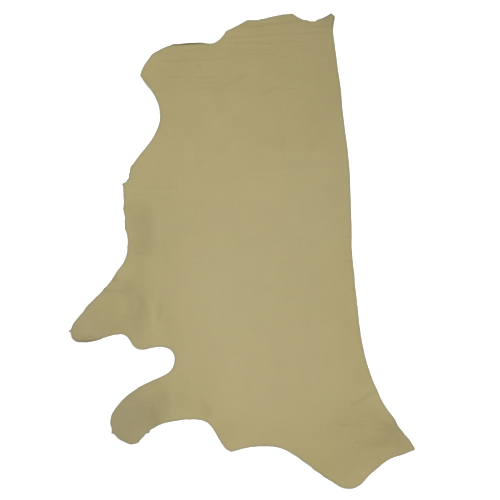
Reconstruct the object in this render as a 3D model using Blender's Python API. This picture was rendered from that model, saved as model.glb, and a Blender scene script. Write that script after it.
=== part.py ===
"""A side of upholstery leather: one half of a cow hide, cut along the backbone and trimmed by knife.

It lies flat, grain side up, on the plane z = 0. The neck end points along +Y and the backbone cut
faces +X. The hide is one piece of leather, so it is one solid: a thin sheet with the knife-cut
outline, low folds where the loose flank and leg skin lifts, and its corners curled a little.
"""

import math

import bpy
import numpy as np
from mathutils import Vector, geometry, kdtree

MM = 0.001

# Driving sizes
HIDE_LENGTH = 2300 * MM
THICKNESS = 1.4 * MM
LEATHER_COLOUR = (0.419, 0.356, 0.185, 1.0)
LEATHER_ROUGHNESS = 0.55

# The tables below are drawn on a cutting table, where the hide is DRAWN_LENGTH units long. "Across"
# runs from the tip of the flank flap towards the backbone, "along" from the rump towards the neck.
# Radii, widths and wave lengths are in the same units, about 1 mm each, and heights are in mm.
DRAWN_LENGTH = 2294
UNIT = HIDE_LENGTH / DRAWN_LENGTH

# Fineness of the solid
EDGE_SPACING = 22 * MM
LATTICE_STEP = 30 * MM
FLAT_EVERY = 4
EDGE_CLEARANCE = 0.55 * LATTICE_STEP
FOLD_SAMPLES = 25
SAME_POINT = 1e-6
SHARP_FROM_DEGREES = 40

ROUND = "AUTO"
CORNER = "VECTOR"

# The knife-cut edge, anticlockwise seen from above. Columns: across, along, turn.
OUTLINE = {
    "neck edge": (
        (1282, 2276, CORNER),
        (1262, 2294, CORNER),
        (1222, 2273, ROUND),
        (1195, 2264, CORNER),
        (1166, 2256, ROUND),
        (1122, 2267, ROUND),
        (1076, 2293, CORNER),
        (1026, 2289, CORNER),
        (989, 2282, ROUND),
        (915, 2263, CORNER),
        (858, 2261, CORNER),
        (825, 2244, ROUND),
        (756, 2209, CORNER),
        (729, 2173, ROUND),
        (690, 2150, ROUND),
        (640, 2154, ROUND),
    ),
    "cheek": (
        (500, 2146, CORNER),
        (435, 2120, ROUND),
        (395, 2091, CORNER),
        (356, 2035, ROUND),
        (342, 1995, CORNER),
    ),
    "throat bay": (
        (367, 1957, ROUND),
        (408, 1902, ROUND),
        (437, 1810, ROUND),
        (421, 1731, ROUND),
        (329, 1598, ROUND),
        (295, 1552, CORNER),
        (286, 1501, CORNER),
    ),
    "belly edge": (
        (257, 1470, CORNER),
        (260, 1440, CORNER),
        (261, 1345, CORNER),
        (268, 1255, CORNER),
        (282, 1200, ROUND),
        (263, 1096, ROUND),
        (236, 1056, ROUND),
        (195, 997, ROUND),
        (87, 884, CORNER),
    ),
    "flank flap": (
        (40, 824, ROUND),
        (7, 769, CORNER),
        (0, 762, CORNER),
        (6, 749, CORNER),
        (16, 724, ROUND),
        (39, 708, ROUND),
        (80, 706, ROUND),
        (141, 717, ROUND),
        (196, 736, ROUND),
        (245, 745, ROUND),
        (279, 731, ROUND),
        (306, 691, ROUND),
        (340, 671, ROUND),
    ),
    "flank notch": (
        (415, 682, ROUND),
        (469, 679, ROUND),
        (497, 658, ROUND),
        (507, 620, ROUND),
        (481, 563, ROUND),
        (403, 522, ROUND),
    ),
    "hind shank": (
        (303, 469, ROUND),
        (234, 404, ROUND),
        (199, 340, ROUND),
        (205, 283, CORNER),
        (203, 268, CORNER),
        (218, 262, CORNER),
        (248, 233, ROUND),
        (300, 214, ROUND),
        (329, 220, ROUND),
        (370, 265, CORNER),
        (382, 268, CORNER),
        (388, 280, CORNER),
    ),
    "thigh bay": (
        (446, 312, ROUND),
        (520, 327, ROUND),
        (600, 334, ROUND),
        (668, 316, ROUND),
        (698, 279, CORNER),
        (739, 213, ROUND),
        (758, 191, ROUND),
    ),
    "butt edge": (
        (782, 178, CORNER),
        (860, 197, ROUND),
        (945, 204, ROUND),
        (1020, 194, ROUND),
        (1134, 128, ROUND),
        (1308, 9, ROUND),
        (1350, 0, ROUND),
        (1386, 7, ROUND),
        (1460, 74, ROUND),
        (1556, 147, ROUND),
        (1604, 163, ROUND),
    ),
    "backbone cut": (
        (1667, 189, CORNER),
        (1643, 235, ROUND),
        (1599, 284, ROUND),
        (1571, 336, CORNER),
        (1516, 413, ROUND),
        (1464, 526, ROUND),
        (1416, 694, ROUND),
        (1388, 910, ROUND),
        (1367, 1120, ROUND),
        (1361, 1320, ROUND),
        (1350, 1570, ROUND),
        (1325, 1780, ROUND),
        (1290, 2080, ROUND),
        (1274, 2215, ROUND),
    ),
}

# Soft ridges in the loose leather. Columns: name, start, middle, end, half width, height.
FOLDS = (
    ("flank ridge", (392, 640), (350, 880), (380, 1120), 95, 6.0),
    ("belly ridge", (372, 1130), (385, 1290), (350, 1420), 85, 4.5),
    ("flap crease", (60, 790), (190, 850), (330, 860), 80, 5.5),
    ("shank ridge", (430, 300), (490, 400), (440, 530), 90, 6.5),
    ("shank tip", (215, 330), (300, 330), (360, 260), 75, 5.0),
    ("rump fold", (1290, 330), (1420, 400), (1540, 440), 90, 6.0),
    ("tail fold", (1330, 110), (1480, 200), (1640, 235), 85, 5.0),
    ("neck fold", (640, 2090), (900, 2190), (1260, 2180), 90, 4.5),
    ("shoulder fold", (420, 1960), (700, 1985), (1010, 1960), 95, 3.5),
    ("cross fold", (620, 1540), (960, 1560), (1340, 1545), 110, 3.0),
)

# Lifting edges: low waves that run in from the edge. Columns: section, wave length, reach, height.
EDGE_WAVES = (
    ("neck edge", 260, 120, 5.0),
    ("throat bay", 230, 110, 4.0),
    ("belly edge", 190, 100, 5.0),
    ("butt edge", 280, 130, 6.0),
    ("backbone cut", 460, 110, 3.0),
)

# Curled corners. Columns: name, across, along, radius, height.
CURLS = (
    ("neck corner", 1282, 2276, 150, 5.0),
    ("cheek", 345, 1995, 150, 6.0),
    ("flank flap tip", 0, 762, 190, 8.0),
    ("hind shank tip", 250, 240, 150, 7.0),
    ("thigh corner", 782, 178, 140, 5.0),
    ("rump", 1350, 0, 170, 6.0),
    ("tail corner", 1667, 189, 180, 8.0),
)


def edge_spline():
    """The outline as one closed Bezier spline through the landmarks of OUTLINE."""
    curve = bpy.data.curves.new("hide_edge", "CURVE")
    landmarks = [landmark for section in OUTLINE.values() for landmark in section]
    spline = curve.splines.new("BEZIER")
    spline.bezier_points.add(len(landmarks) - 1)
    spline.use_cyclic_u = True
    for point, (across, along, turn) in zip(spline.bezier_points, landmarks):
        point.co = (across * UNIT, along * UNIT, 0.0)
        point.handle_left_type = turn
        point.handle_right_type = turn
    return spline


def edge_points(spline):
    """Points along the edge, EDGE_SPACING apart, and the number of the point at each landmark."""
    knots = list(spline.bezier_points)
    points = []
    landmark_points = []
    for start, end in zip(knots, knots[1:] + knots[:1]):
        landmark_points.append(len(points))
        steps = max(1, round((end.co - start.co).length / EDGE_SPACING))
        stretch = geometry.interpolate_bezier(
            start.co, start.handle_right, end.handle_left, end.co, steps + 1
        )
        points += [point.to_2d() for point in stretch[:-1]]
    return points, landmark_points


def section_spans(landmark_points, point_count):
    """First and last edge point of each section of OUTLINE."""
    spans = {}
    first_landmark = 0
    for name, landmarks in OUTLINE.items():
        next_landmark = first_landmark + len(landmarks)
        ends_here = next_landmark < len(landmark_points)
        last = landmark_points[next_landmark] if ends_here else point_count
        spans[name] = (landmark_points[first_landmark], last)
        first_landmark = next_landmark
    return spans


def nearest_edge_points(places, edge):
    """Number of the edge point nearest to each place, and the gap to it."""
    tree = kdtree.KDTree(len(edge))
    for number, point in enumerate(edge):
        tree.insert(point.to_3d(), number)
    tree.balance()
    nearest = [tree.find((across, along, 0.0)) for across, along in places]
    numbers = np.array([number for _point, number, _gap in nearest])
    gaps = np.array([gap for _point, _number, gap in nearest])
    return numbers, gaps


def hump(distance, reach):
    """A smooth hump: 1 at no distance, level with the floor from the reach outwards."""
    share = np.clip(distance / reach, 0.0, 1.0)
    return (1.0 - share**2) ** 2


def fold_height(places, start, middle, end, half_width, height):
    """A ridge of one fold, along a quadratic curve from start to end, fading out at both ends."""
    share = np.linspace(0.0, 1.0, FOLD_SAMPLES)[:, None]
    ends = [np.array(point) * UNIT for point in (start, middle, end)]
    ridge = (1 - share) ** 2 * ends[0] + 2 * share * (1 - share) * ends[1] + share**2 * ends[2]
    gaps = np.linalg.norm(places[:, None, :] - ridge[None, :, :], axis=2)
    nearest = gaps.argmin(axis=1)
    fade = np.sin(math.pi * share[nearest, 0]) ** 0.5
    return height * MM * fade * hump(gaps.min(axis=1), half_width * UNIT)


def curl_height(places, across, along, radius, height):
    """A corner that curls up off the floor."""
    centre = np.array((across, along)) * UNIT
    return height * MM * hump(np.linalg.norm(places - centre, axis=1), radius * UNIT)


def wave_height(travelled, section_length, edge_gap, wave_length, reach, height):
    """Low waves that run in from a section of the edge, at each place's way along that section."""
    along_section = np.clip(travelled, 0.0, section_length)
    fade = np.sin(math.pi * along_section / section_length)
    waves = max(1, round(section_length / (wave_length * UNIT)))
    ripple = np.sin(math.pi * waves * along_section / section_length) ** 2
    return height * MM * fade * ripple * hump(edge_gap, reach * UNIT)


def relief(places, edge, spans):
    """Height of the hide's underside above the floor at each place."""
    edge_place, edge_gap = nearest_edge_points(places, edge)
    closed = edge + edge[:1]
    pieces = [(after - before).length for before, after in zip(closed, closed[1:])]
    travelled = np.concatenate(([0.0], np.cumsum(pieces)))
    heights = np.zeros(len(places))
    for _name, *sizes in FOLDS:
        heights = np.maximum(heights, fold_height(places, *sizes))
    for _name, *sizes in CURLS:
        heights = np.maximum(heights, curl_height(places, *sizes))
    for section, *sizes in EDGE_WAVES:
        first, last = spans[section]
        way = travelled[edge_place] - travelled[first]
        section_length = travelled[last] - travelled[first]
        wave = wave_height(way, section_length, edge_gap, *sizes)
        heights = np.maximum(heights, wave)
    return heights


def lattice_places(edge, spans):
    """Points on a triangular lattice, close where the hide is wavy and far apart where it is flat."""
    row_step = LATTICE_STEP * math.sqrt(3.0) / 2.0
    rows = int(max(point.y for point in edge) / row_step) + 1
    columns = int(max(point.x for point in edge) / LATTICE_STEP) + 1
    row, column = np.mgrid[0:rows, 0:columns]
    places = np.stack(((column + row % 2 / 2) * LATTICE_STEP, row * row_step), axis=-1)
    places = places.reshape(-1, 2)
    coarse = ((row % FLAT_EVERY == 0) & (column % FLAT_EVERY == 0)).ravel()
    wavy = relief(places, edge, spans) > 0.0
    return places[coarse | wavy]


def inside_the_edge(places, edge):
    """The places that lie inside the outline and clear of it."""
    _numbers, gaps = nearest_edge_points(places, edge)
    corners = np.array([tuple(point) for point in edge])
    following = np.roll(corners, -1, axis=0)
    kept = []
    for across, along in places[gaps >= EDGE_CLEARANCE]:
        crosses = (corners[:, 1] > along) != (following[:, 1] > along)
        rise = (along - corners[crosses, 1]) / (following[crosses, 1] - corners[crosses, 1])
        meets = corners[crosses, 0] + rise * (following[crosses, 0] - corners[crosses, 0])
        if np.count_nonzero(meets > across) % 2:
            kept.append(Vector((across, along)))
    return kept


def leather_material():
    """Olive-beige dyed leather, matt with a faint shine."""
    material = bpy.data.materials.new("leather")
    material.use_nodes = True
    shader = material.node_tree.nodes["Principled BSDF"]
    shader.inputs["Base Color"].default_value = LEATHER_COLOUR
    shader.inputs["Roughness"].default_value = LEATHER_ROUGHNESS
    shader.inputs["Metallic"].default_value = 0.0
    return material


def hide_mesh(edge, spans):
    """The underside of the hide as a triangulated sheet, standing off the floor by its relief."""
    inner = inside_the_edge(lattice_places(edge, spans), edge)
    loop = [(number, (number + 1) % len(edge)) for number in range(len(edge))]
    inside_faces_only = 1
    points, _, faces, *_ = geometry.delaunay_2d_cdt(
        edge + inner, loop, [], inside_faces_only, SAME_POINT
    )
    flat_places = np.array([tuple(point) for point in points])
    heights = relief(flat_places, edge, spans)
    mesh = bpy.data.meshes.new("hide")
    vertices = np.column_stack((flat_places, heights)).tolist()
    mesh.from_pydata(vertices, [], [tuple(face) for face in faces])
    mesh.validate()
    return mesh


def make_hide():
    """The hide at its place: the middle of its outline over the origin, its flat parts on z = 0."""
    edge, landmark_points = edge_points(edge_spline())
    spans = section_spans(landmark_points, len(edge))
    mesh = hide_mesh(edge, spans)
    mesh.materials.append(leather_material())
    hide = bpy.data.objects.new("hide", mesh)
    bpy.context.collection.objects.link(hide)
    across = [point.x for point in edge]
    along = [point.y for point in edge]
    hide.location = (-(min(across) + max(across)) / 2, -(min(along) + max(along)) / 2, 0.0)
    leather = hide.modifiers.new("thickness", "SOLIDIFY")
    leather.thickness = THICKNESS
    leather.offset = 1.0
    mesh.shade_smooth()
    mesh.set_sharp_from_angle(angle=math.radians(SHARP_FROM_DEGREES))


def main():
    for obj in list(bpy.context.scene.objects):
        bpy.data.objects.remove(obj)
    make_hide()


main()
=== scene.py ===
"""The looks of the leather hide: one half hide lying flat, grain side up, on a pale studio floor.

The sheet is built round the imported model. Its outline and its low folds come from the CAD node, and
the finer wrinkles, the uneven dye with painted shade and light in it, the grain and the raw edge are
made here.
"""

import math

import bmesh
import bpy
import numpy as np
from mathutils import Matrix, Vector, bvhtree, geometry, kdtree, noise


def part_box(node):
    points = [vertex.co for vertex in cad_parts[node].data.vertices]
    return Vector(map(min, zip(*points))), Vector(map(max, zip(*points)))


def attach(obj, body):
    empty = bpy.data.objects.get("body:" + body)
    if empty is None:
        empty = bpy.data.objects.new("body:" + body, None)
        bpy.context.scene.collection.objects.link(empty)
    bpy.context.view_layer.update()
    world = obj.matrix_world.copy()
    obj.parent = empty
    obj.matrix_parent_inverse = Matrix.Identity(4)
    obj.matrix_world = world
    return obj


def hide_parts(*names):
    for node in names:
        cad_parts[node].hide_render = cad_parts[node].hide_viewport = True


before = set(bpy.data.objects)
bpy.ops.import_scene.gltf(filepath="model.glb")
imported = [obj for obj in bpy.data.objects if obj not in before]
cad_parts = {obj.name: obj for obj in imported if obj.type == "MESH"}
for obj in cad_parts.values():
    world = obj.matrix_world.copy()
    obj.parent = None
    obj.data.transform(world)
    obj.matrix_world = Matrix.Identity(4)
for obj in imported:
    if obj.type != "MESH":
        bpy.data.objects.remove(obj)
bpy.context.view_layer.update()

MM = 0.001

# The leather
THICKNESS = 1.4 * MM
ROUNDING = 0.3 * MM

# The mesh's material slots
GRAIN_SLOT, CUT_SLOT, FLESH_SLOT = range(3)

# The tables below are drawn on a cutting table, as in the part's source: "across" runs from the tip
# of the flank flap towards the backbone and "along" from the rump to the neck, in units of about a
# millimetre. Widths, reaches and wave lengths are in the same units, and heights are in mm.
DRAWN_LENGTH = 2294
HIDE_LOW, HIDE_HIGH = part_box("hide")
UNIT = (HIDE_HIGH.y - HIDE_LOW.y) / DRAWN_LENGTH
TABLE_CORNER = np.array((HIDE_LOW.x, HIDE_LOW.y))

# Fineness of the sheet: the steps along its edge and along a wrinkle's line, the row of points just
# inside the edge, and the finest lattice of points with the coarser ones as multiples of it. The
# lattices of the grain side and the flesh side keep a share of the finest step off the edge.
EDGE_STEP = 3.6 * MM
PATH_STEP = 3.0 * MM
SUPPORT_INSET = 1.3 * MM
FINE_STEP = 4.2 * MM
COARSE_EVERY = 2
FLESH_EVERY = 4
GRAIN_CLEARANCE = 0.75
FLESH_CLEARANCE = 1.5
SAME_POINT = 1e-7

# Reading the CAD sheet: points this close are one, faces that look up this much are its upper side,
# and a corner of its edge that turns further than this stays sharp.
WELD = 0.01 * MM
FACES_UP = 0.5
SHARP_TURN = math.radians(38)

# Edges of the sheet that turn further than this are shaded sharp.
SHARP_SHADING = math.radians(55)

# Facets of the CAD sheet are smoothed over these rings. Columns: radius in mm, points.
SMOOTHING_RINGS = ((14, 6), (28, 10))

# How far the knife strays from the drawn edge. Columns: wave length, reach in mm.
KNIFE_STRAYS = ((13, 0.45), (47, 0.7))

# Bulges and nicks of the cut edge. Columns: name, across, along, half width, outwards by mm.
EDGE_MOVES = (
    ("neck dip, left", 1147, 2260, 20, 3.5),
    ("neck dip, nick", 1184, 2260, 14, -4.5),
    ("neck corner", 1272, 2286, 18, 3.0),
    ("backbone, top", 1278, 2160, 50, 1.5),
    ("backbone 1", 1304, 1934, 110, 2.8),
    ("backbone 2", 1364, 1171, 40, -1.6),
    ("backbone 3", 1371, 1036, 42, 2.4),
    ("backbone 4", 1485, 472, 52, 2.8),
    ("backbone 5", 1603, 280, 32, 3.2),
    ("tail tip", 1659, 198, 20, 3.0),
    ("rump 1", 1265, 31, 48, -4.0),
    ("rump 2", 1185, 91, 36, 2.6),
    ("rump 3", 1103, 150, 30, -1.9),
    ("thigh", 582, 340, 22, 2.4),
    ("shank nub, right", 383, 274, 11, 3.5),
    ("shank bottom, right", 345, 239, 20, -3.0),
    ("shank bottom, left", 265, 223, 40, -3.4),
    ("shank side", 196, 311, 20, 2.0),
    ("shank top", 379, 509, 88, 2.8),
    ("shank root", 454, 546, 36, 3.6),
    ("flap, below", 229, 746, 20, 2.0),
    ("flap, below 2", 161, 728, 18, -1.8),
    ("flap bottom", 60, 708, 26, -3.0),
    ("flap nub", 2, 762, 8, 3.4),
    ("flap tip", 4, 752, 8, -3.0),
    ("flap top 1", 22, 799, 32, 3.6),
    ("flap top 2", 63, 857, 28, -2.2),
    ("flap top 3", 167, 968, 16, 3.0),
    ("flap top 4", 234, 1055, 70, 2.1),
    ("belly 1", 277, 1171, 22, 2.2),
    ("belly 2", 276, 1232, 14, -1.6),
    ("belly 3", 265, 1312, 26, -3.8),
    ("belly 4", 259, 1352, 9, 1.8),
    ("belly 5", 260, 1388, 30, -1.9),
    ("belly 6", 257, 1438, 8, 2.8),
    ("throat tip", 255, 1470, 10, 4.4),
    ("throat notch", 271, 1487, 12, -3.4),
    ("throat", 287, 1514, 13, 3.6),
    ("cheek, above", 403, 2100, 32, 2.2),
    ("cheek, top", 480, 2142, 15, -1.8),
    ("crest", 925, 2267, 14, 2.2),
)

# Wrinkles in the grain alone. Columns: name, start, middle, end, half width, height in mm.
WRINKLES = (
    ("neck 1", (820, 2222), (960, 2234), (1130, 2256), 9, -1.0),
    ("neck 1, end", (1150, 2234), (1190, 2224), (1250, 2222), 10, -0.6),
    ("neck 2", (735, 2170), (880, 2172), (1075, 2198), 9, -0.75),
    ("neck 2, end", (1060, 2196), (1130, 2186), (1262, 2206), 11, -0.6),
    ("neck 3", (815, 2172), (850, 2168), (890, 2172), 7, -0.45),
    ("neck 4", (740, 2146), (880, 2148), (1005, 2144), 7, -0.7),
    ("neck 4, end", (1000, 2148), (1080, 2162), (1160, 2148), 8, -0.5),
    ("neck 5", (590, 2120), (830, 2110), (1060, 2116), 7, -0.25),
    ("neck 6", (1010, 2078), (1040, 2076), (1075, 2086), 9, -0.5),
    ("neck 7", (1190, 2044), (1215, 2042), (1245, 2052), 9, -0.4),
    ("neck 8", (985, 2004), (1080, 2010), (1170, 2004), 8, -0.3),
    ("neck 9", (800, 2160), (850, 2162), (915, 2158), 6, -0.4),
    ("neck 10", (850, 2092), (925, 2098), (1000, 2090), 8, -0.4),
    ("neck pleat 1", (760, 2194), (900, 2194), (1040, 2211), 9, 0.45),
    ("neck pleat 2", (760, 2164), (900, 2162), (1010, 2168), 8, 0.4),
    ("neck pleat 3", (720, 2132), (860, 2130), (1010, 2128), 8, 0.35),
    ("cheek 1", (530, 2066), (570, 2060), (610, 2066), 8, -0.7),
    ("cheek 1, end", (605, 2068), (680, 2066), (745, 2074), 8, -0.4),
    ("cheek 2", (430, 2056), (500, 2066), (570, 2056), 9, -0.35),
    ("cheek 3", (500, 2114), (570, 2104), (660, 2114), 10, -0.4),
    ("cheek 4", (604, 2036), (620, 2038), (640, 2030), 12, -0.6),
    ("cheek 5", (595, 1980), (655, 1978), (710, 1984), 11, -0.65),
    ("cheek 6", (465, 1980), (510, 1986), (560, 1980), 10, -0.3),
    ("cheek 7", (400, 1962), (540, 1954), (700, 1964), 9, -0.25),
    ("bright line", (540, 1932), (680, 1940), (860, 1932), 9, 0.45),
    ("slanting 1", (735, 1930), (790, 1958), (870, 2010), 17, -0.55),
    ("slanting 2", (910, 1896), (965, 1920), (1010, 1936), 16, -0.5),
    ("slanting 3", (990, 1932), (1050, 1930), (1110, 1926), 8, -0.45),
    ("upright", (712, 1945), (724, 1880), (718, 1790), 44, -0.2),
    ("shoulder step", (735, 1560), (980, 1545), (1330, 1566), 34, -0.3),
    ("throat line", (265, 1432), (420, 1424), (585, 1434), 12, 0.6),
    ("throat dip", (385, 1400), (440, 1396), (500, 1400), 10, -0.6),
    ("backbone 1", (1300, 1212), (1330, 1208), (1362, 1214), 10, -0.6),
    ("backbone 2", (1318, 1092), (1345, 1090), (1370, 1096), 9, -0.5),
    ("backbone 3", (1345, 958), (1362, 955), (1385, 960), 9, -0.5),
    ("backbone 4", (1268, 998), (1282, 1002), (1296, 998), 9, -0.5),
    ("flap edge 1", (186, 1008), (212, 1002), (240, 1004), 13, -0.8),
    ("flap edge 2", (150, 960), (190, 948), (262, 946), 11, -0.8),
    ("belly fold", (300, 1136), (330, 1130), (372, 1138), 11, -0.5),
    ("shank pleat", (385, 500), (420, 505), (470, 520), 13, -0.5),
    ("tail crease", (1345, 398), (1385, 412), (1430, 442), 14, -1.25),
    ("tail crease, end", (1408, 432), (1440, 448), (1480, 466), 16, -1.0),
    ("rump wrinkle", (1255, 310), (1310, 298), (1380, 304), 15, -0.55),
    ("rump wrinkle, end", (1372, 314), (1400, 300), (1432, 290), 20, -0.4),
    ("tail ridge", (1380, 203), (1480, 200), (1565, 226), 24, -0.45),
    ("tail spot", (1370, 226), (1384, 220), (1396, 224), 12, -0.6),
)
DEEPEST_WRINKLE = 0.95 * MM

# Folds that both sides of the sheet follow, on top of the CAD sheet's own. Columns as above.
FOLDS = (
    ("flap dip", (338, 925), (342, 880), (336, 840), 26, -1.4),
    ("flap root", (345, 850), (330, 800), (285, 775), 36, -1.2),
    ("flap rib", (395, 900), (402, 820), (392, 745), 26, 0.9),
    ("flank pleat 1", (440, 880), (425, 830), (440, 770), 20, 0.3),
    ("flank pleat 2", (480, 1330), (472, 1180), (485, 1050), 24, 0.25),
    ("flank pleat 3", (540, 1280), (528, 1120), (536, 960), 26, 0.25),
    ("belly dip", (362, 1290), (366, 1220), (358, 1145), 28, -0.8),
    ("belly shoulder", (352, 1390), (362, 1340), (366, 1290), 34, -0.6),
    ("shank dip", (452, 450), (428, 400), (405, 325), 30, -1.1),
    ("shank rib", (490, 475), (494, 430), (500, 365), 26, 0.9),
    ("thigh dip", (628, 385), (650, 362), (672, 350), 24, -0.5),
    ("tail hollow", (1475, 305), (1530, 285), (1600, 250), 40, -1.0),
)

# How a wrinkle or fold wanders, varies and fades towards its ends, and the low lips beside it. The
# waves are in the tables' units, and the lips' place and reach in half widths of the line.
WANDER_WAVE = 70
WANDER_SHARE = 0.012
UNEVEN_WAVE = 45
UNEVEN_SHARE = 0.45
FADE_POWER = 0.6
LIP_SHARE = 0.3
LIP_AT = 1.5
LIP_REACH = 0.9

# Zones with loose, finely wrinkled grain. Columns: name, across, along, half width, half length.
LOOSE_ZONES = (
    ("neck", 900, 2150, 560, 190),
    ("cheek", 520, 2020, 240, 190),
    ("flap", 200, 850, 260, 190),
    ("shank", 330, 370, 240, 200),
    ("tail", 1480, 300, 240, 220),
    ("belly", 320, 1260, 110, 240),
)
LOOSE_FROM = 0.2

# Fine wrinkles of a loose zone. Columns: wave across, wave along, height in mm.
FINE_WRINKLES = ((210, 19, 0.34), (110, 11, 0.16))

# The sheet is nowhere quite even. Columns: wave length, height in mm.
UNEVENNESS = ((190, 0.22), (62, 0.10), (24, 0.05))

# Where each kind of unevenness starts in the noise, so that no two of them run alike
KNIFE_SEED = 0.5
LINE_SEED_STEP = 1.7
WANDER_SEED = 0.3
VARY_SEED = 0.7
FINE_SEED = 3.1
UNEVENNESS_SEED = 7.3

# Soft patches of darker and paler tone: partly uneven dye, partly painted shade and painted light
# where folds, turned edges and the fall-off of the light make the hide darker or paler. Columns:
# name, across, along, half width, half length, turned by degrees, change in per cent.
DYE_AND_PAINTED_SHADE_PATCHES = (
    ("neck", 930, 2290, 950, 460, 0, -15.0),
    ("neck top", 1010, 2260, 420, 120, 4, -2.0),
    ("neck corner", 1262, 2262, 70, 60, 0, -9.0),
    ("neck left", 850, 2150, 260, 150, 0, 4.5),
    ("neck edge", 780, 2225, 100, 60, 0, 2.5),
    ("neck right", 1150, 2090, 190, 130, 0, 3.0),
    ("pale neck spot", 1185, 1915, 40, 50, 0, 3.0),
    ("cheek", 420, 2000, 280, 240, 0, -6.0),
    ("cheek corner", 316, 1995, 90, 100, 0, -3.0),
    ("cheek low", 530, 1910, 200, 100, 0, 3.0),
    ("pale cheek side", 558, 1870, 110, 180, 0, 1.3),
    ("cheek spot", 621, 2034, 24, 20, 0, -3.0),
    ("throat", 520, 1890, 230, 230, 0, -4.0),
    ("throat middle", 720, 1975, 200, 90, 0, -2.5),
    ("throat low", 510, 1800, 210, 190, 0, -2.5),
    ("pale throat edge", 560, 1440, 120, 110, 0, 1.5),
    ("pale throat side", 600, 1456, 120, 90, 0, 1.8),
    ("shoulder", 1090, 1890, 470, 390, 0, -6.5),
    ("shoulder spot 1", 1170, 1655, 50, 40, 0, -4.5),
    ("shoulder spot 2", 915, 1610, 50, 30, 0, -4.0),
    ("shoulder spot 3", 1030, 1650, 26, 110, 0, -3.5),
    ("shoulder spot 4", 1190, 1790, 60, 44, 0, -2.5),
    ("slanting spot", 829, 1995, 44, 22, 20, -3.5),
    ("slanting spot 2", 970, 1925, 50, 26, 25, -2.0),
    ("upright mark", 725, 1870, 56, 120, 0, -2.5),
    ("pale streak", 575, 1610, 40, 110, 0, 4.5),
    ("pale spot", 795, 1650, 40, 44, 0, 2.5),
    # Painted shade above the shoulder step and painted light below it
    ("above the step", 1060, 1640, 440, 120, 0, -2.5),
    ("below the step", 960, 1440, 400, 110, 0, 1.5),
    ("upper backbone", 1370, 1960, 380, 620, 0, -10.5),
    ("backbone, upper", 1330, 1400, 150, 270, 0, -3.0),
    ("backbone, middle", 1275, 1430, 170, 250, 0, -1.8),
    ("backbone side", 1380, 1100, 140, 760, 0, -1.2),
    ("backbone, lower", 1420, 540, 90, 170, 0, -3.5),
    ("pale backbone", 1285, 540, 150, 420, 0, 1.2),
    ("upper right", 1110, 1420, 230, 170, 0, -2.5),
    ("upper middle", 840, 1380, 430, 360, 0, 3.5),
    ("bright middle", 800, 640, 480, 760, 0, 8.5),
    ("pale middle", 960, 1065, 240, 230, 0, 1.4),
    ("lower light", 1190, 640, 240, 340, 0, 2.0),
    ("flank light", 640, 1040, 250, 340, 0, 4.0),
    ("middle spot", 860, 985, 60, 26, 0, -2.5),
    ("low spot", 1010, 590, 60, 66, 0, -3.0),
    ("low spot 2", 895, 760, 50, 40, 0, -2.5),
    ("pale low spot", 785, 610, 36, 50, 0, 2.0),
    ("belly", 345, 1260, 105, 210, 0, -8.0),
    ("belly hollow", 335, 1180, 54, 66, 0, -4.5),
    ("belly edge", 285, 1355, 40, 50, 0, -4.5),
    ("belly core", 366, 1190, 24, 84, 0, -1.5),
    ("belly top", 372, 1345, 44, 60, 0, -2.5),
    ("belly low", 320, 1030, 100, 150, 0, -3.5),
    ("flank strip", 400, 1220, 120, 400, 0, -3.0),
    ("flank streak", 434, 850, 28, 80, 0, -6.0),
    ("flank flap", 120, 800, 340, 250, 30, -11.0),
    ("flap root", 320, 850, 110, 150, 0, -4.5),
    ("flap core", 340, 885, 34, 85, 0, -5.0),
    ("flap knee", 278, 970, 50, 62, 0, -8.0),
    ("flap nick 1", 172, 956, 44, 26, 0, -6.0),
    ("flap nick 2", 215, 1007, 30, 22, 0, -6.0),
    ("pale flap", 258, 862, 44, 74, 0, 4.5),
    ("pale flap 2", 147, 813, 84, 50, 0, 3.0),
    ("flap shoulder", 395, 905, 85, 150, 0, -3.0),
    ("flap shoulder 2", 466, 840, 70, 150, 0, -3.0),
    ("flap bottom", 270, 765, 95, 55, 0, -2.5),
    # Painted shade along the flap's bottom edge, where it turns away from the light
    ("flap rim", 85, 720, 125, 36, 0, -11.5),
    ("flap tip", 20, 770, 80, 80, 0, -6.0),
    ("pale rib", 402, 820, 26, 120, 0, 3.0),
    ("notch side", 650, 520, 170, 170, 0, -2.0),
    ("notch root", 480, 480, 150, 130, 0, -6.5),
    ("notch top", 510, 690, 90, 200, 0, -1.8),
    ("hind shank", 280, 330, 330, 260, 25, -22.0),
    ("shank core", 410, 345, 30, 85, 10, -5.5),
    ("shank top", 385, 478, 95, 70, 20, 6.5),
    ("shank root", 600, 405, 140, 85, 0, -5.0),
    ("shank tip", 270, 240, 120, 44, -8, -4.0),
    ("shank spot", 385, 325, 60, 60, 0, -3.0),
    ("pale shank", 240, 335, 60, 60, 0, 3.0),
    ("shank edge", 330, 470, 170, 60, 28, -3.0),
    ("pale shank rib", 494, 420, 34, 90, 0, 3.0),
    ("thigh spot", 666, 370, 50, 54, 0, -8.0),
    ("thigh streak", 642, 440, 36, 80, 0, -2.0),
    ("thigh corner", 765, 265, 90, 110, 0, -5.5),
    ("butt", 980, 250, 400, 130, 0, -3.5),
    ("pale butt", 1130, 310, 180, 100, 0, 2.5),
    ("tail", 1480, 250, 360, 270, -20, -7.0),
    ("tail core", 1550, 270, 115, 90, -20, -11.5),
    ("tail low", 1480, 222, 100, 50, 0, -4.0),
    ("tail corner", 1615, 210, 70, 60, 0, -5.5),
    ("tail edge", 1575, 315, 40, 50, 0, -3.0),
    ("rump band", 1420, 210, 160, 44, 12, -2.0),
    ("rump edge", 1195, 130, 130, 120, 0, -5.5),
    ("pale rump", 1430, 105, 120, 80, 0, 3.0),
    ("rump tip", 1350, 60, 230, 180, 0, -4.5),
)

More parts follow.
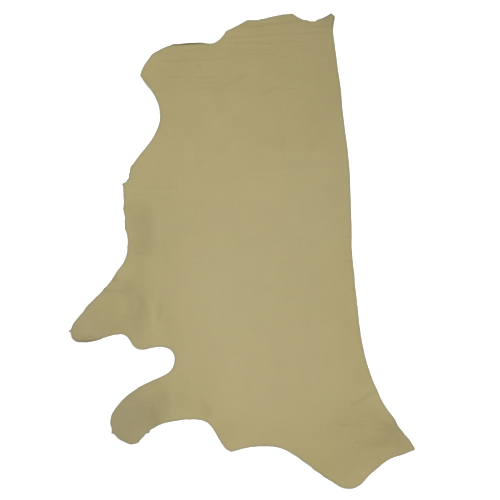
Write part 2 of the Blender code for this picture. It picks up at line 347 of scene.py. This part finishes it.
# Dyes, as linear colours
OLIVE = (0.330, 0.276, 0.131)
GREYER = (0.330, 0.280, 0.160)
WARMER = (0.330, 0.263, 0.122)
GREENER = (0.325, 0.279, 0.133)
DEEPER = (0.330, 0.272, 0.120)

# A deeper tone from the dye and painted shade patches is also more saturated: the powers of its
# strength in red, green and blue.
DEEPENING = (1.0, 1.0, 1.45)

# Where the olive dye turns greyer or warmer. Columns: name, dye, across, along, half width,
# half length, turned by degrees, share in per cent.
DYES = (
    ("upper hide", DEEPER, 760, 2000, 1000, 800, 0, 85.0),
    ("neck", WARMER, 1000, 2290, 700, 420, 0, 30.0),
    ("upper backbone", WARMER, 1340, 1900, 330, 560, 0, 25.0),
    ("lower edge", DEEPER, 1250, 150, 600, 300, 0, 90.0),
    ("tail", WARMER, 1520, 200, 330, 300, 0, 60.0),
    ("flap tip", GREYER, 60, 760, 200, 150, 0, 60.0),
    ("shank", GREYER, 250, 320, 280, 240, 25, 100.0),
    ("thigh", DEEPER, 720, 300, 170, 190, 0, 80.0),
    ("neck corner", GREYER, 1262, 2262, 80, 70, 0, 60.0),
    ("middle", GREENER, 800, 950, 260, 330, 0, 80.0),
    ("backbone", DEEPER, 1385, 850, 200, 680, 0, 85.0),
)

# A fine greyer line of painted shade along the cut edge, where the edge turns away from the light:
# the line's width, its share right at the edge and its colour.
PAINTED_EDGE_SHADE_WIDTH = 14.0 * MM
PAINTED_EDGE_SHADE_SHARE = 0.47
PAINTED_EDGE_SHADE_COLOUR = (0.150, 0.178, 0.148)

# Where the edge has painted shadow instead, as under a turned or curled edge. Columns: name,
# across, along, half width, half length, turned by degrees, strength in per cent.
PAINTED_RIM_SHADOWS = (
    ("turned cheek edge", 575, 2146, 120, 60, 0, 100.0),
    ("flap bottom", 80, 712, 120, 40, 0, 55.0),
    ("tail edge", 1580, 320, 60, 70, 0, 15.0),
    ("neck corner", 1270, 2265, 60, 60, 0, 40.0),
    ("shank bottom", 300, 250, 160, 60, -10, 15.0),
)

# A painted rim shadow keeps its share up to the inner gap from the edge and has none from the outer
# gap on.
PAINTED_RIM_SHADOW_INNER = 8.0 * MM
PAINTED_RIM_SHADOW_OUTER = 11.5 * MM
PAINTED_RIM_SHADOW_SHARE = 0.62

# Raw leather, as linear colours
FLESH_COLOUR = (0.46, 0.40, 0.29)
FIBRE_COLOUR = (0.33, 0.28, 0.17)

# Noise textures. Columns: waves per metre, detail, roughness.
STIR = (160.0, 2.0, 0.5)
CLOUDS = (9.0, 3.0, 0.5)
MOTTLE = (55.0, 3.0, 0.6)
SPECKLE = (420.0, 2.0, 0.5)
SWELLS = (130.0, 3.0, 0.6)
GLOSS = (70.0, 4.0, 0.6)
CUT_FIBRES = (500.0, 4.0, 0.65)
NAP = (260.0, 5.0, 0.7)
SUEDE_CLOUDS = (12.0, 3.0, 0.5)

# The values that a soft or a lively noise mostly takes
SOFT_SPREAD = (0.3, 0.7)
LIVELY_SPREAD = (0.25, 0.75)

# What a texture's low and high values do to the strength of a colour, and to the gloss
CLOUD_SHADES = (0.985, 1.015)
MOTTLE_SHADES = (0.982, 1.018)
SPECKLE_SHADES = (0.97, 1.03)
FURROW_SHADES = (0.93, 1.04)
# In the wrinkles: painted shade, and dye gathered in them
CREASE_DYE_AND_PAINTED_SHADE = (1.0, 0.92)
FIBRE_SHADES = (0.8, 1.15)
NAP_SHADES = (0.86, 1.12)
SUEDE_CLOUD_SHADES = (0.94, 1.05)
GRAIN_ROUGHNESS = (0.56, 0.62)

# Cells of the grain. Columns: cells per metre, share of a cell that its furrow or pore takes.
PEBBLES = (540.0, 0.18)
BEADS = (1200.0, 0.2)
PORES = (1500.0, 0.35)
STIR_REACH = 0.9 * MM

# Shares of beads, pores and swells in the grain's relief, next to the pebbles
BEAD_RELIEF = 0.3
PORE_RELIEF = 0.15
SWELL_RELIEF = 1.6

# Bumps. Columns: strength, depth.
GRAIN_BUMP = (0.6, 0.10 * MM)
CUT_BUMP = (0.6, 0.2 * MM)
NAP_BUMP = (0.5, 0.3 * MM)

# How the layers of the cut and the brushed nap stretch their textures
CUT_LAYERS = (1.0, 1.0, 9.0)
NAP_BRUSHING = (1.0, 0.35, 1.0)

# Roughness and specular level of the plain surfaces, and the flesh side's sheen
GRAIN_SPECULAR = 0.4
CUT_ROUGHNESS, CUT_SPECULAR = 0.9, 0.2
FLESH_ROUGHNESS, FLESH_SPECULAR = 0.95, 0.15
SHEEN_WEIGHT, SHEEN_ROUGHNESS = 0.25, 0.5
FLOOR_ROUGHNESS, FLOOR_SPECULAR = 0.9, 0.1

# The studio
CAMERA_HEIGHT = 6.0
PHOTO_WIDTH = 2.4208
PHOTO_CENTRE = (0.038, 0.005)
SENSOR = 36.0
SKY_COLOUR = (1.0, 1.0, 1.0, 1.0)
SKY_STRENGTH = 0.66
SUN_STRENGTH = 2.47
SUN_ELEVATION = math.radians(47)
SUN_AZIMUTH = math.radians(50)
SUN_SOFTNESS = math.radians(22)
FLOOR_SIZE = 90.0
FLOOR_DROP = 0.2 * MM
FLOOR_COLOUR = (0.96, 0.96, 0.96, 1.0)
FLOOR_GLOW = 0.3


def to_table(places):
    """Places in metres, in the hide's own frame, as table units."""
    return (places - TABLE_CORNER) / UNIT


def hump(distance, reach):
    """A smooth hump: 1 at no distance, 0 from the reach outwards."""
    share = np.clip(np.abs(distance) / reach, 0.0, 1.0)
    return (1.0 - share**2) ** 2


def ripple(places, size, seed):
    """Smooth noise between about -1 and 1 over places, with waves of the given size."""
    across, along = (places / size).T
    return np.array([noise.noise(Vector((a, b, seed))) for a, b in zip(across, along)])


def frame_sheet():
    """The CAD sheet's upper side as a search tree, and its edge as an anticlockwise loop."""
    sheet = bmesh.new()
    sheet.from_mesh(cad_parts["hide"].data)
    bmesh.ops.remove_doubles(sheet, verts=sheet.verts, dist=WELD)
    sheet.normal_update()
    others = [face for face in sheet.faces if face.normal.z < FACES_UP]
    bmesh.ops.delete(sheet, geom=others, context="FACES")
    tree = bvhtree.BVHTree.FromBMesh(sheet)
    rim = [edge.link_loops[0] for edge in sheet.edges if edge.is_boundary]
    after = {loop.vert: loop.link_loop_next.vert for loop in rim}
    corner = rim[0].vert
    loop = []
    for _ in after:
        loop.append(tuple(corner.co.xy))
        corner = after[corner]
    sheet.free()
    return tree, np.array(loop)


def inward(loop):
    """The direction into the hide at each point of an anticlockwise loop."""
    ahead = np.roll(loop, -1, axis=0) - np.roll(loop, 1, axis=0)
    turned = np.column_stack((-ahead[:, 1], ahead[:, 0]))
    return turned / np.linalg.norm(turned, axis=1)[:, None]


def corner_turns(loop):
    """How far the loop turns at each of its points."""
    before = loop - np.roll(loop, 1, axis=0)
    after = np.roll(loop, -1, axis=0) - loop
    turn = np.arctan2(after[:, 1], after[:, 0]) - np.arctan2(before[:, 1], before[:, 0])
    return np.abs((turn + math.pi) % (2 * math.pi) - math.pi)


def curve_point(start, end, leave, arrive, share):
    """A point on the smooth curve that leaves its start and arrives at its end as given."""
    keep = 1 - share
    return (
        keep**2 * (1 + 2 * share) * start
        + share**2 * (3 - 2 * share) * end
        + keep**2 * share * leave
        - share**2 * keep * arrive
    )


def smooth_loop(loop):
    """A smooth curve through the loop's points, EDGE_STEP apart, that keeps the sharp corners."""
    sharp = corner_turns(loop) > SHARP_TURN
    ahead = np.roll(loop, -1, axis=0) - np.roll(loop, 1, axis=0)
    ahead /= np.linalg.norm(ahead, axis=1)[:, None]
    points = []
    for here in range(len(loop)):
        there = (here + 1) % len(loop)
        chord = loop[there] - loop[here]
        length = np.linalg.norm(chord)
        leave = chord if sharp[here] else ahead[here] * length
        arrive = chord if sharp[there] else ahead[there] * length
        steps = max(1, round(length / EDGE_STEP))
        for share in np.linspace(0.0, 1.0, steps, endpoint=False):
            points.append(curve_point(loop[here], loop[there], leave, arrive, share))
    return np.array(points)


def knife_cut(loop):
    """The smooth edge with its bulges and nicks, and the small strays of a knife."""
    table = to_table(loop)
    stray = np.zeros(len(loop))
    for seed, (wave, reach) in enumerate(KNIFE_STRAYS):
        stray += reach * ripple(table, wave, seed + KNIFE_SEED)
    for _name, across, along, half_width, outwards in EDGE_MOVES:
        stray -= patch(table, across, along, half_width, half_width) * outwards
    return loop + inward(loop) * (stray * MM)[:, None]


def patch(table, across, along, half_width, half_length, degrees=0.0):
    """1 in the middle of a soft oval patch, 0 outside it."""
    turned = math.radians(degrees)
    right = table[:, 0] - across
    up = table[:, 1] - along
    sideways = right * math.cos(turned) + up * math.sin(turned)
    lengthways = up * math.cos(turned) - right * math.sin(turned)
    return hump(np.hypot(sideways / half_width, lengthways / half_length), 1.0)


def loose_share(table):
    """How loose and finely wrinkled the grain is at each place."""
    share = np.zeros(len(table))
    for _name, *sizes in LOOSE_ZONES:
        share = np.maximum(share, patch(table, *sizes))
    return share


def line_points(start, middle, end, seed):
    """Points along a line that wanders a little, and the line's strength at each of them."""
    corners = [np.array(point, dtype=float) for point in (start, middle, end)]
    length = np.linalg.norm(corners[1] - corners[0]) + np.linalg.norm(corners[2] - corners[1])
    share = np.linspace(0.0, 1.0, int(length * UNIT / PATH_STEP) + 2)
    way = share[:, None]
    line = (1 - way) ** 2 * corners[0] + 2 * way * (1 - way) * corners[1] + way**2 * corners[2]
    ahead = np.gradient(line, axis=0)
    sideways = np.column_stack((-ahead[:, 1], ahead[:, 0]))
    sideways /= np.linalg.norm(sideways, axis=1)[:, None]
    along = share * length
    swing = [noise.noise(Vector((gone / WANDER_WAVE, seed, WANDER_SEED))) for gone in along]
    line = line + sideways * (np.array(swing) * WANDER_SHARE * length)[:, None]
    uneven = [noise.noise(Vector((gone / UNEVEN_WAVE, VARY_SEED, seed))) for gone in along]
    fade = np.sin(math.pi * share) ** FADE_POWER
    return line, fade * (1.0 + UNEVEN_SHARE * np.array(uneven))


def line_shape(table, start, middle, end, half_width, seed):
    """The shape of one line: 1 along its middle, with a low lip on each side."""
    line, strength = line_points(start, middle, end, seed)
    reach = half_width * (LIP_AT + LIP_REACH)
    low, high = line.min(axis=0) - reach, line.max(axis=0) + reach
    near = np.flatnonzero(((table > low) & (table < high)).all(axis=1))
    shape = np.zeros(len(table))
    if len(near):
        gaps = np.linalg.norm(table[near, None, :] - line[None, :, :], axis=2)
        nearest = gaps.argmin(axis=1)
        gap = gaps[np.arange(len(near)), nearest] / half_width
        profile = hump(gap, 1.0) - LIP_SHARE * hump(gap - LIP_AT, LIP_REACH)
        shape[near] = profile * strength[nearest]
    return shape


def line_heights(table, lines):
    """Height of a table of lines in metres, at each place."""
    height = np.zeros(len(table))
    for number, (_name, *sizes, rise) in enumerate(lines):
        height += line_shape(table, *sizes, number * LINE_SEED_STEP) * rise * MM
    return height


def needs_fine_mesh(table):
    """Whether each place is in a loose zone, or close to a wrinkle or fold."""
    fine = loose_share(table) > LOOSE_FROM
    for lines in (WRINKLES, FOLDS):
        fine |= line_heights(table, lines) != 0.0
    return fine


def frame_height(places, tree):
    """Height of the CAD sheet's upper side, averaged over SMOOTHING_RINGS."""
    offsets = [(0.0, 0.0)]
    for radius, count in SMOOTHING_RINGS:
        for number in range(count):
            angle = 2 * math.pi * number / count
            offsets.append((radius * MM * math.cos(angle), radius * MM * math.sin(angle)))
    heights = np.zeros(len(places))
    for step_x, step_y in offsets:
        found = [tree.find_nearest((x + step_x, y + step_y, THICKNESS))[0].z for x, y in places]
        heights += found
    return heights / len(offsets)


def lattice(outline, every):
    """Points of a triangular lattice inside the outline, FINE_STEP times every apart."""
    step = FINE_STEP * every
    row_step = step * math.sqrt(3.0) / 2.0
    ahead = np.roll(outline, -1, axis=0)
    rows = np.arange(outline[:, 1].min(), outline[:, 1].max(), row_step)
    columns = np.arange(outline[:, 0].min(), outline[:, 0].max(), step)
    kept = []
    for number, along in enumerate(rows):
        across = columns + number % 2 * step / 2.0
        crosses = (outline[:, 1] > along) != (ahead[:, 1] > along)
        start, end = outline[crosses], ahead[crosses]
        way = (along - start[:, 1]) / (end[:, 1] - start[:, 1])
        meets = np.sort(start[:, 0] + way * (end[:, 0] - start[:, 0]))
        inside = across[np.searchsorted(meets, across) % 2 == 1]
        kept.append(np.column_stack((inside, np.full(len(inside), along))))
    return np.concatenate(kept)


def edge_gaps(places, outline):
    """Gap from each place to the edge."""
    tree = kdtree.KDTree(len(outline))
    for number, (x, y) in enumerate(outline):
        tree.insert((x, y, 0.0), number)
    tree.balance()
    return np.array([tree.find((x, y, 0.0))[2] for x, y in places])


def triangulate(loop, inner):
    """A flat sheet of triangles inside a loop, and the number of each of the loop's points in it."""
    points = [Vector(point) for point in np.concatenate((loop, inner)).tolist()]
    ring = [(number, (number + 1) % len(loop)) for number in range(len(loop))]
    inside_faces_only = 1
    made, _, faces, origins, *_ = geometry.delaunay_2d_cdt(
        points, ring, [], inside_faces_only, SAME_POINT
    )
    place = {first: number for number, sources in enumerate(origins) for first in sources}
    return np.array([tuple(point) for point in made]), faces, [place[n] for n in range(len(loop))]


def underside_height(places, tree):
    """Height of the flesh side above the floor: the CAD sheet's folds with the finer FOLDS added."""
    folds = line_heights(to_table(places), FOLDS)
    return np.maximum(frame_height(places, tree) - THICKNESS + folds, 0.0)


def grain_relief(table):
    """Height of the grain side above a smooth sheet, and how deep in a wrinkle each place lies."""
    lines = DEEPEST_WRINKLE * np.tanh(line_heights(table, WRINKLES) / DEEPEST_WRINKLE)
    height = lines.copy()
    loose = loose_share(table)
    for seed, (wave_across, wave_along, rise) in enumerate(FINE_WRINKLES):
        waves = np.array((wave_across, wave_along))
        height += loose * rise * MM * ripple(table, waves, seed + FINE_SEED)
    for seed, (wave, rise) in enumerate(UNEVENNESS):
        height += rise * MM * ripple(table, wave, seed + UNEVENNESS_SEED)
    return height, np.clip(-lines / DEEPEST_WRINKLE, 0.0, 1.0)


def upper_places(outline):
    """Places for the grain side: close together where it is wrinkled, wider apart elsewhere."""
    fine = lattice(outline, 1)
    fine = fine[needs_fine_mesh(to_table(fine))]
    coarse = lattice(outline, COARSE_EVERY)
    coarse = coarse[~needs_fine_mesh(to_table(coarse))]
    inner = np.concatenate((fine, coarse))
    inner = inner[edge_gaps(inner, outline) > GRAIN_CLEARANCE * FINE_STEP]
    support = outline + inward(outline) * SUPPORT_INSET
    return np.concatenate((support, inner))


def patches(table, rows, start):
    """A value at each place: the start value, changed by a table of soft patches in per cent."""
    value = np.full(len(table), start)
    for _name, *sizes, change in rows:
        value += patch(table, *sizes) * change / 100.0
    return value


def dye_and_painted_shade_colours(table):
    """The dye at each place with its painted shade and light: its colour times the strength of the
    tone patches.
    """
    colour = np.tile(np.array(OLIVE), (len(table), 1))
    for _name, dye, *sizes, change in DYES:
        share = patch(table, *sizes)[:, None] * change / 100.0
        colour = colour * (1 - share) + np.array(dye) * share
    return colour * patches(table, DYE_AND_PAINTED_SHADE_PATCHES, 1.0)[:, None] ** np.array(DEEPENING)


def grain_side(outline, ring, tree):
    """The upper side: its points, faces and ring, and how deep in a wrinkle each point lies."""
    places, faces, on_ring = triangulate(ring, upper_places(outline))
    relief, depth = grain_relief(to_table(places))
    heights = underside_height(places, tree) + THICKNESS + relief
    return np.column_stack((places, heights)), faces, on_ring, depth


def flesh_side(outline, ring, tree):
    """The underside: its points, faces and ring."""
    inner = lattice(outline, FLESH_EVERY)
    inner = inner[edge_gaps(inner, outline) > FLESH_CLEARANCE * FINE_STEP]
    places, faces, on_ring = triangulate(ring, inner)
    return np.column_stack((places, underside_height(places, tree))), faces, on_ring


def rim_faces(rings):
    """Faces that join rings of points, from the lowest ring to the highest."""
    count = len(rings[0])
    faces = []
    for below, above in zip(rings, rings[1:]):
        for here in range(count):
            there = (here + 1) % count
            faces.append((below[here], below[there], above[there], above[here]))
    return faces


def store(mesh, name, values):
    """Keeps a value for each vertex, for the materials to read."""
    layer = mesh.attributes.new(name, "FLOAT", "POINT")
    layer.data.foreach_set("value", values.astype(np.float32))


def store_looks(mesh, places, outline, creases):
    """Keeps the creases, the gap to the edge, the painted rim shadows, and the dye with its painted
    shade and light, of each vertex.
    """
    table = to_table(places)
    store(mesh, "crease", creases)
    store(mesh, "from_edge", edge_gaps(places, outline))
    store(mesh, "painted_rim_shadow", patches(table, PAINTED_RIM_SHADOWS, 0.0))
    # The dye colours carry the painted shade and light of the tone patches.
    dye = np.column_stack((dye_and_painted_shade_colours(table), np.ones(len(table))))
    layer = mesh.attributes.new("dye", "FLOAT_COLOR", "POINT")
    layer.data.foreach_set("color", dye.astype(np.float32).ravel())


def hide_mesh():
    """The whole sheet: grain side, rounded cut edge and flesh side, as one closed mesh."""
    tree, cad_loop = frame_sheet()
    outline = knife_cut(smooth_loop(cad_loop))
    ring = outline + inward(outline) * ROUNDING
    upper, upper_faces, upper_ring, depth = grain_side(outline, ring, tree)
    lower, lower_faces, lower_ring = flesh_side(outline, ring, tree)
    edge_upper = np.column_stack((outline, upper[upper_ring, 2] - ROUNDING))
    edge_lower = np.column_stack((outline, lower[lower_ring, 2] + ROUNDING))
    vertices = np.concatenate((upper, edge_upper, edge_lower, lower))

    count = len(outline)
    first_upper, first_lower, first_flesh = np.cumsum((len(upper), count, count))
    flesh_ring = first_flesh + np.array(lower_ring)
    edge_rings = (first_lower + np.arange(count), first_upper + np.arange(count))
    rim = rim_faces((flesh_ring, *edge_rings, np.array(upper_ring)))
    flesh = [[first_flesh + number for number in reversed(face)] for face in lower_faces]
    faces = [[int(number) for number in face] for face in (*upper_faces, *rim, *flesh)]
    slots = [GRAIN_SLOT] * len(upper_faces) + [CUT_SLOT] * len(rim) + [FLESH_SLOT] * len(flesh)

    mesh = bpy.data.meshes.new("hide_leather")
    mesh.from_pydata(vertices.tolist(), [], faces)
    mesh.polygons.foreach_set("material_index", slots)
    mesh.polygons.foreach_set("use_smooth", [True] * len(faces))
    creases = np.zeros(len(vertices))
    creases[: len(upper)] = depth
    store_looks(mesh, vertices[:, :2], outline, creases)
    return mesh


class Nodes:
    """Short hand for the nodes of one material."""

    def __init__(self, name):
        self.material = bpy.data.materials.new(name)
        self.material.use_nodes = True
        self.tree = self.material.node_tree
        self.shader = self.tree.nodes["Principled BSDF"]

    def add(self, kind, inputs=None, **settings):
        node = self.tree.nodes.new(kind)
        for key, value in settings.items():
            setattr(node, key, value)
        for socket, value in (inputs or {}).items():
            self.put(node.inputs[socket], value)
        return node

    def put(self, socket, value):
        if isinstance(value, bpy.types.NodeSocket):
            self.tree.links.new(value, socket)
        else:
            socket.default_value = value

    def math(self, operation, *values, clamp=False):
        node = self.add("ShaderNodeMath", dict(enumerate(values)), operation=operation)
        node.use_clamp = clamp
        return node.outputs[0]

    def attribute(self, name, output="Fac"):
        return self.add("ShaderNodeAttribute", attribute_name=name).outputs[output]

    def place(self):
        """Places on the piece itself."""
        return self.add("ShaderNodeTexCoord").outputs["Object"]

    def stretched(self, place, scale):
        """Places for a texture that is stretched in one direction."""
        return self.add("ShaderNodeMapping", {"Vector": place, "Scale": scale}).outputs["Vector"]

    def noise(self, place, scale, detail, roughness, output="Fac"):
        inputs = {"Vector": place, "Scale": scale, "Detail": detail, "Roughness": roughness}
        return self.add("ShaderNodeTexNoise", inputs).outputs[output]

    def cells(self, place, feature, scale, width):
        """0 at the cells' borders, or at their middles for F1, and 1 from a width away."""
        inputs = {"Vector": place, "Scale": scale}
        distance = self.add("ShaderNodeTexVoronoi", inputs, feature=feature).outputs["Distance"]
        return self.ranged(distance, (0.0, width), (0.0, 1.0))

    def ranged(self, value, spread, ends):
        """A value between the two ends, for one in a spread of values."""
        inputs = dict(enumerate((value, *spread, *ends)))
        return self.add("ShaderNodeMapRange", inputs).outputs[0]

    def scaled(self, colour, factor):
        node = self.add("ShaderNodeVectorMath", operation="SCALE")
        self.put(node.inputs[0], colour)
        self.put(node.inputs["Scale"], factor)
        return node.outputs[0]

    def product(self, value, *others):
        for other in others:
            value = self.math("MULTIPLY", value, other)
        return value

    def rest(self, share):
        """What a share leaves of 1."""
        return self.math("SUBTRACT", 1.0, share, clamp=True)

    def bump(self, height, strength, depth):
        inputs = {"Height": height, "Strength": strength, "Distance": depth}
        normal = self.add("ShaderNodeBump", inputs).outputs["Normal"]
        self.put(self.shader.inputs["Normal"], normal)

    def surface(self, colour, roughness, specular):
        self.put(self.shader.inputs["Base Color"], colour)
        self.put(self.shader.inputs["Roughness"], roughness)
        self.put(self.shader.inputs["Specular IOR Level"], specular)


def grain_cells(nodes, place):
    """The grain's pebbles, the finer beads on them, and the pores."""
    stir = nodes.scaled(nodes.noise(place, *STIR, output="Color"), STIR_REACH)
    stirred = nodes.add("ShaderNodeVectorMath", {0: place, 1: stir}).outputs[0]
    pebbles = nodes.cells(stirred, "DISTANCE_TO_EDGE", *PEBBLES)
    beads = nodes.cells(stirred, "DISTANCE_TO_EDGE", *BEADS)
    return pebbles, beads, nodes.cells(place, "F1", *PORES)


def edge_shares(nodes):
    """The shares of the painted shade line and of the painted rim shadows along the cut edge."""
    from_edge = nodes.attribute("from_edge")
    painted_rim_shadow = nodes.attribute("painted_rim_shadow")
    line = nodes.ranged(from_edge, (0.0, PAINTED_EDGE_SHADE_WIDTH), (PAINTED_EDGE_SHADE_SHARE, 0.0))
    dark = nodes.ranged(from_edge, (PAINTED_RIM_SHADOW_INNER, PAINTED_RIM_SHADOW_OUTER), (PAINTED_RIM_SHADOW_SHARE, 0.0))
    return nodes.product(line, nodes.rest(painted_rim_shadow)), nodes.product(dark, painted_rim_shadow)


def grain_colour(nodes, place, pebbles):
    """Uneven dye with painted shade and light: darker between the pebbles, in the wrinkles where dye
    gathers and shade is painted, and along the cut edge in painted shade.
    """
    clouds = nodes.ranged(nodes.noise(place, *CLOUDS), SOFT_SPREAD, CLOUD_SHADES)
    mottle = nodes.ranged(nodes.noise(place, *MOTTLE), SOFT_SPREAD, MOTTLE_SHADES)
    speckle = nodes.ranged(nodes.noise(place, *SPECKLE), LIVELY_SPREAD, SPECKLE_SHADES)
    furrows = nodes.ranged(pebbles, (0.0, 1.0), FURROW_SHADES)
    creases = nodes.ranged(nodes.attribute("crease"), (0.0, 1.0), CREASE_DYE_AND_PAINTED_SHADE)
    line, dark = edge_shares(nodes)
    shade = nodes.product(clouds, mottle, speckle, furrows, creases, nodes.rest(line))
    # The dye attribute holds the dye with the painted shade and light of the tone patches; shade adds
    # the painted shade of the wrinkles and of the edge line.
    dye_and_painted_shade = nodes.scaled(nodes.attribute("dye", "Color"), shade)
    painted_edge_shade = nodes.scaled(PAINTED_EDGE_SHADE_COLOUR, line)
    colour = nodes.add("ShaderNodeVectorMath", {0: dye_and_painted_shade, 1: painted_edge_shade}).outputs[0]
    return nodes.scaled(colour, nodes.rest(dark))


def grain_material():
    """The grain side: fine pebbles with pores under uneven dye with painted shade and light."""
    nodes = Nodes("leather_grain")
    place = nodes.place()
    pebbles, beads, pores = grain_cells(nodes, place)
    gloss = nodes.ranged(nodes.noise(place, *GLOSS), SOFT_SPREAD, GRAIN_ROUGHNESS)
    nodes.surface(grain_colour(nodes, place, pebbles), gloss, GRAIN_SPECULAR)
    relief = nodes.math("MULTIPLY_ADD", beads, BEAD_RELIEF, pebbles)
    relief = nodes.math("MULTIPLY_ADD", pores, PORE_RELIEF, relief)
    relief = nodes.math("MULTIPLY_ADD", nodes.noise(place, *SWELLS), SWELL_RELIEF, relief)
    nodes.bump(relief, *GRAIN_BUMP)
    return nodes.material


def cut_edge_material():
    """The raw cut: compressed fibres in thin layers."""
    nodes = Nodes("leather_cut_edge")
    fibres = nodes.noise(nodes.stretched(nodes.place(), CUT_LAYERS), *CUT_FIBRES)
    shade = nodes.ranged(fibres, LIVELY_SPREAD, FIBRE_SHADES)
    nodes.surface(nodes.scaled(FIBRE_COLOUR, shade), CUT_ROUGHNESS, CUT_SPECULAR)
    nodes.bump(fibres, *CUT_BUMP)
    return nodes.material


def flesh_material():
    """The underside: paler suede with a short nap."""
    nodes = Nodes("leather_flesh")
    place = nodes.place()
    nap = nodes.noise(nodes.stretched(place, NAP_BRUSHING), *NAP)
    nap_shade = nodes.ranged(nap, LIVELY_SPREAD, NAP_SHADES)
    clouds = nodes.ranged(nodes.noise(place, *SUEDE_CLOUDS), SOFT_SPREAD, SUEDE_CLOUD_SHADES)
    colour = nodes.scaled(FLESH_COLOUR, nodes.product(nap_shade, clouds))
    nodes.surface(colour, FLESH_ROUGHNESS, FLESH_SPECULAR)
    nodes.bump(nap, *NAP_BUMP)
    nodes.put(nodes.shader.inputs["Sheen Weight"], SHEEN_WEIGHT)
    nodes.put(nodes.shader.inputs["Sheen Roughness"], SHEEN_ROUGHNESS)
    return nodes.material


def new_object(name, data):
    """A new object in the scene."""
    made = bpy.data.objects.new(name, data)
    bpy.context.scene.collection.objects.link(made)
    return made


def make_hide(floor):
    """The one piece of leather, in place of its CAD node."""
    mesh = hide_mesh()
    for material in (grain_material(), cut_edge_material(), flesh_material()):
        mesh.materials.append(material)
    mesh.set_sharp_from_angle(angle=SHARP_SHADING)
    hide = new_object("hide_leather", mesh)
    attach(hide, "root")
    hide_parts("hide")


def make_floor():
    """A plain pale floor, lit through a little, so that it stays white close to the hide."""
    half = FLOOR_SIZE / 2
    corners = [(-half, -half), (half, -half), (half, half), (-half, half)]
    mesh = bpy.data.meshes.new("floor")
    mesh.from_pydata([(x, y, -FLOOR_DROP) for x, y in corners], [], [(0, 1, 2, 3)])
    nodes = Nodes("floor_paint")
    nodes.surface(FLOOR_COLOUR, FLOOR_ROUGHNESS, FLOOR_SPECULAR)
    nodes.put(nodes.shader.inputs["Emission Color"], FLOOR_COLOUR)
    nodes.put(nodes.shader.inputs["Emission Strength"], FLOOR_GLOW)
    mesh.materials.append(nodes.material)
    floor = new_object("floor", mesh)
    return floor


def make_lights():
    """A white sky all round, and one broad soft light high on the right."""
    world = bpy.data.worlds.new("studio")
    world.use_nodes = True
    sky = world.node_tree.nodes["Background"]
    sky.inputs["Color"].default_value = SKY_COLOUR
    sky.inputs["Strength"].default_value = SKY_STRENGTH
    bpy.context.scene.world = world
    lamp = bpy.data.lights.new("key", "SUN")
    lamp.energy = SUN_STRENGTH
    lamp.angle = SUN_SOFTNESS
    key = new_object("key", lamp)
    level = math.cos(SUN_ELEVATION)
    sideways, ahead = math.sin(SUN_AZIMUTH) * level, math.cos(SUN_AZIMUTH) * level
    towards = Vector((sideways, ahead, math.sin(SUN_ELEVATION)))
    key.rotation_euler = towards.to_track_quat("Z", "Y").to_euler()
    bpy.context.scene.view_settings.view_transform = "Standard"


def make_camera():
    """Straight above the hide, with the photograph's framing."""
    camera = bpy.data.cameras.new("camera")
    camera.sensor_width = SENSOR
    camera.lens = SENSOR * CAMERA_HEIGHT / PHOTO_WIDTH
    holder = new_object("camera", camera)
    holder.location = (*PHOTO_CENTRE, CAMERA_HEIGHT)
    bpy.context.scene.camera = holder


make_camera()
make_lights()
make_hide(make_floor())
